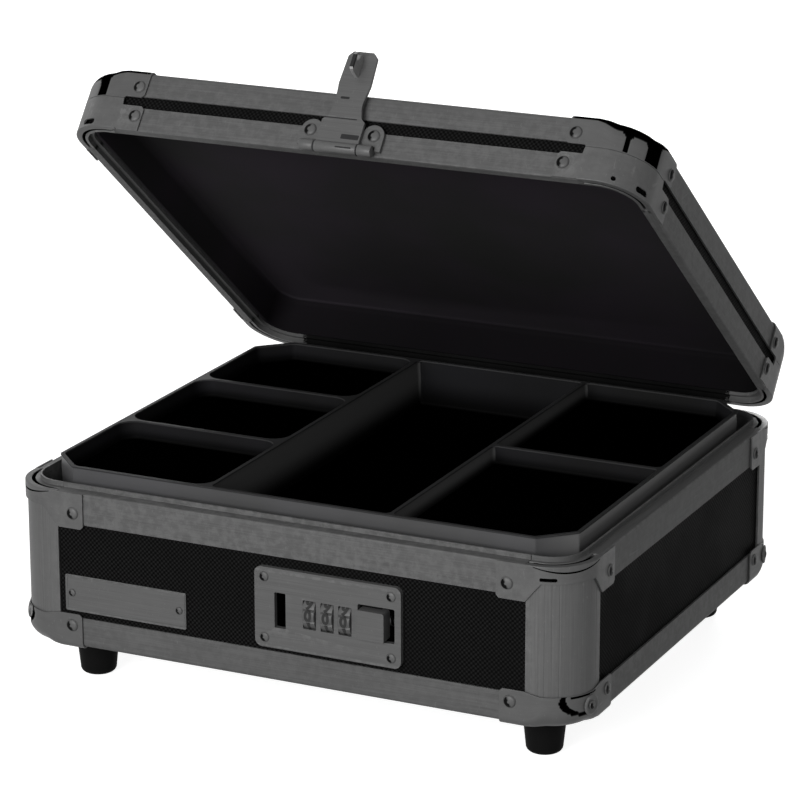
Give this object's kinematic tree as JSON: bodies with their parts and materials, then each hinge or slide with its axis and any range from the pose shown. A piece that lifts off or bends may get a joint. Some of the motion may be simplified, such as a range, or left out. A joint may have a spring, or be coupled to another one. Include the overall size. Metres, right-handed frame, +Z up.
{
  "type": "combination cash box",
  "caption": "Lockable cash box with a rear-hinged lid, fold-over hasp, combination wheel lock with release slide, metal-edged panels, ball corners and a lift-out compartment tray.",
  "frame": {"origin": "centre of the underside of the base's floor board, midway between the side walls and between the front and rear walls", "axes": "+X to the right as seen from the front, -Y out of the front that carries the lock, +Z up"},
  "size_m": [0.3292, 0.3128, 0.3411],
  "materials": {
    "frame_rail": "satin",
    "corner_bracket": "satin",
    "panel": "matte",
    "lining": "matte",
    "tray": "satin",
    "foot": "matte",
    "lock_metal": "satin",
    "dial": "satin",
    "hinge": "satin",
    "inner_steel": "satin"
  },
  "bodies": {
    "base": {"base_floor_board": "panel", "base_front_board": "panel", "base_rear_board": "panel", "base_right_board": "panel", "base_left_board": "panel", "base_top_rail_front": "frame_rail", "base_top_rail_right": "frame_rail", "base_top_rail_rear": "frame_rail", "base_top_rail_left": "frame_rail", "base_bottom_rail_front": "frame_rail", "base_bottom_rail_right": "frame_rail", "base_bottom_rail_rear": "frame_rail", "base_bottom_rail_left": "frame_rail", "corner_post_front_left": "frame_rail", "corner_post_front_right": "frame_rail", "corner_post_rear_right": "frame_rail", "corner_post_rear_left": "frame_rail", "base_top_bracket_front_left": "corner_bracket", "base_top_bracket_front_right": "corner_bracket", "base_top_bracket_rear_right": "corner_bracket", "base_top_bracket_rear_left": "corner_bracket", "base_bottom_bracket_front_left": "corner_bracket", "base_bottom_bracket_front_right": "corner_bracket", "base_bottom_bracket_rear_right": "corner_bracket", "base_bottom_bracket_rear_left": "corner_bracket", "foot_front_left": "foot", "foot_front_right": "foot", "foot_rear_right": "foot", "foot_rear_left": "foot", "nameplate": "lock_metal", "lock_plate": "lock_metal", "lock_case": "inner_steel", "release_spring": "inner_steel", "hinge_base_leaf": "hinge"},
    "lid": {"lid_shell": "panel", "lid_lining": "lining", "lid_lower_rail_front": "frame_rail", "lid_lower_rail_right": "frame_rail", "lid_lower_rail_rear": "frame_rail", "lid_lower_rail_left": "frame_rail", "lid_top_rail_front": "frame_rail", "lid_top_rail_right": "frame_rail", "lid_top_rail_rear": "frame_rail", "lid_top_rail_left": "frame_rail", "lid_lower_bracket_front_left": "corner_bracket", "lid_lower_bracket_front_right": "corner_bracket", "lid_lower_bracket_rear_right": "corner_bracket", "lid_lower_bracket_rear_left": "corner_bracket", "lid_upper_bracket_front_left": "corner_bracket", "lid_upper_bracket_front_right": "corner_bracket", "lid_upper_bracket_rear_right": "corner_bracket", "lid_upper_bracket_rear_left": "corner_bracket", "hasp_base": "lock_metal", "hinge_lid_leaf": "hinge"},
    "hasp": {"hasp_strap": "lock_metal"},
    "tray": {"tray": "tray"},
    "dial_left": {"dial_wheel_left": "dial"},
    "dial_middle": {"dial_wheel_middle": "dial"},
    "dial_right": {"dial_wheel_right": "dial"},
    "release": {"release_slide": "lock_metal"}
  },
  "joints": [
    {"name": "lid_hinge", "type": "hinge", "parent": "base", "child": "lid", "pos_m": [0, 0.1454, 0.0814], "axis": [-1, 0, 0], "range_deg": [-38.8, 56.2]},
    {"name": "hasp_hinge", "type": "hinge", "parent": "lid", "child": "hasp", "pos_m": [-0.0008, -0.07896, 0.26724], "axis": [1, 0, 0], "range_deg": [0, 180]},
    {"name": "tray_lift", "type": "slide", "parent": "base", "child": "tray", "axis": [0, 0, 1], "range_m": [0, 0.03]},
    {"name": "dial_left_turn", "type": "hinge", "parent": "base", "child": "dial_left", "pos_m": [0.0146, -0.136, 0.0386], "axis": [1, 0, 0], "continuous": true},
    {"name": "dial_middle_turn", "type": "hinge", "parent": "base", "child": "dial_middle", "pos_m": [0.0247, -0.136, 0.0386], "axis": [1, 0, 0], "continuous": true},
    {"name": "dial_right_turn", "type": "hinge", "parent": "base", "child": "dial_right", "pos_m": [0.0348, -0.136, 0.0386], "axis": [1, 0, 0], "continuous": true},
    {"name": "release_slide", "type": "slide", "parent": "base", "child": "release", "axis": [1, 0, 0], "range_m": [0, 0.0045], "stiffness_N_per_m": 600, "springref_m": -0.002, "deforming": ["release_spring"]}
  ]
}
